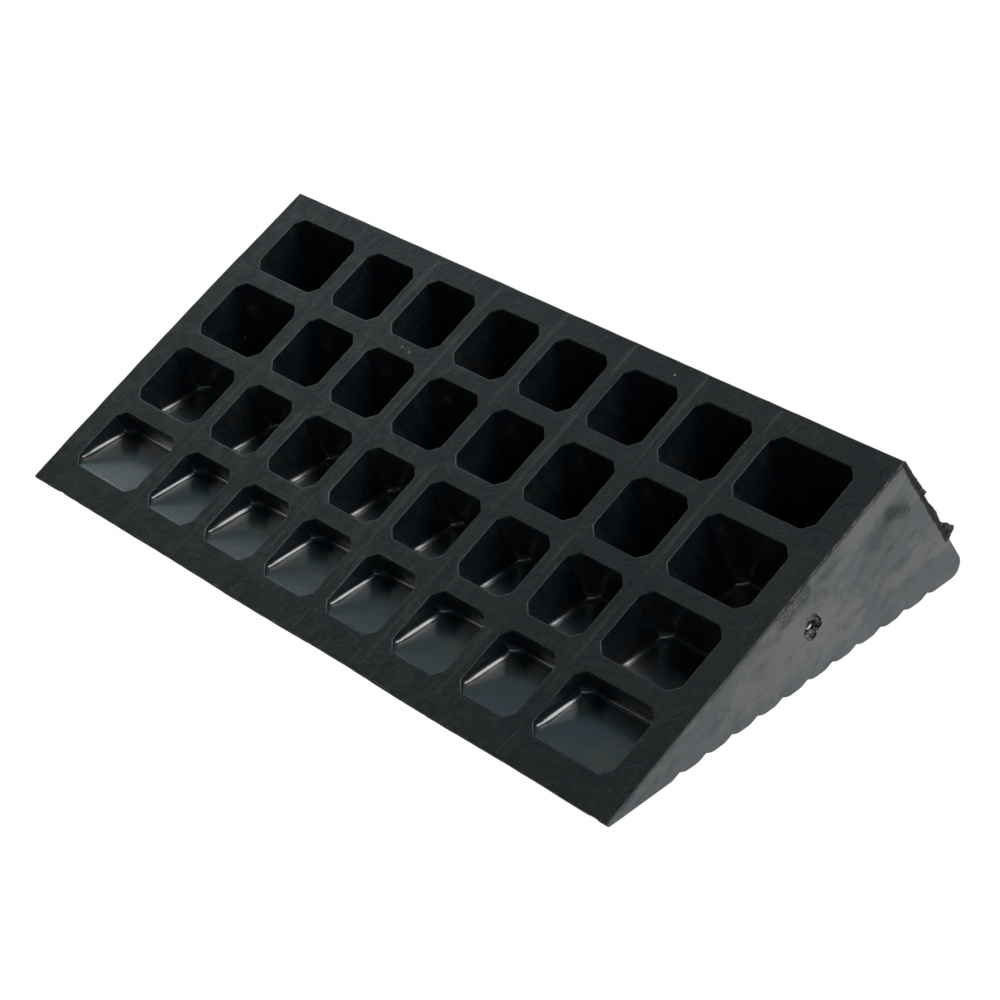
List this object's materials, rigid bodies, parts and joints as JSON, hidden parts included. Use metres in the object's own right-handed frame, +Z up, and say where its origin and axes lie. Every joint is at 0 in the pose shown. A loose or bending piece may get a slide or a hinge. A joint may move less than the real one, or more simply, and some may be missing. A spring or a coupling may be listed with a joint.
{
  "type": "portable wheelchair ramp",
  "caption": "Low rubber kerb ramp: a wedge with a grooved tread, a hollow pocketed underside and a steel pin that links it to the next ramp.",
  "frame": {"origin": "middle of the bounding box's underside, on the ground plane", "axes": "+X along the ramp's width, +Y from the thin edge up to the kerb, +Z up"},
  "size_m": [0.5036, 0.2566, 0.1028],
  "materials": {
    "moulded_rubber": "matt black moulded rubber, scuffed and dusty, with a slight sheen inside the pockets and on the end faces",
    "zinc_plated_steel": "dull zinc plate"
  },
  "bodies": {
    "ramp": {"nose_edge": "moulded_rubber", "tread_plate": "moulded_rubber", "back_wall": "moulded_rubber", "end_wall_pin_side": "moulded_rubber", "end_wall_plain_side": "moulded_rubber", "rib_1": "moulded_rubber", "rib_2": "moulded_rubber", "rib_3": "moulded_rubber", "rib_4": "moulded_rubber", "rib_5": "moulded_rubber", "rib_6": "moulded_rubber", "rib_7": "moulded_rubber", "web_front_1": "moulded_rubber", "web_front_2": "moulded_rubber", "web_front_3": "moulded_rubber", "web_front_4": "moulded_rubber", "web_front_5": "moulded_rubber", "web_front_6": "moulded_rubber", "web_front_7": "moulded_rubber", "web_front_8": "moulded_rubber", "web_middle_1": "moulded_rubber", "web_middle_2": "moulded_rubber", "web_middle_3": "moulded_rubber", "web_middle_4": "moulded_rubber", "web_middle_5": "moulded_rubber", "web_middle_6": "moulded_rubber", "web_middle_7": "moulded_rubber", "web_middle_8": "moulded_rubber", "web_rear_1": "moulded_rubber", "web_rear_2": "moulded_rubber", "web_rear_3": "moulded_rubber", "web_rear_4": "moulded_rubber", "web_rear_5": "moulded_rubber", "web_rear_6": "moulded_rubber", "web_rear_7": "moulded_rubber", "web_rear_8": "moulded_rubber"},
    "link_pin": {"link_pin": "zinc_plated_steel"}
  },
  "joints": [
    {"name": "link_pin_slide", "type": "slide", "parent": "ramp", "child": "link_pin", "axis": [-1, 0, 0], "range_m": [0, 0.02]}
  ]
}
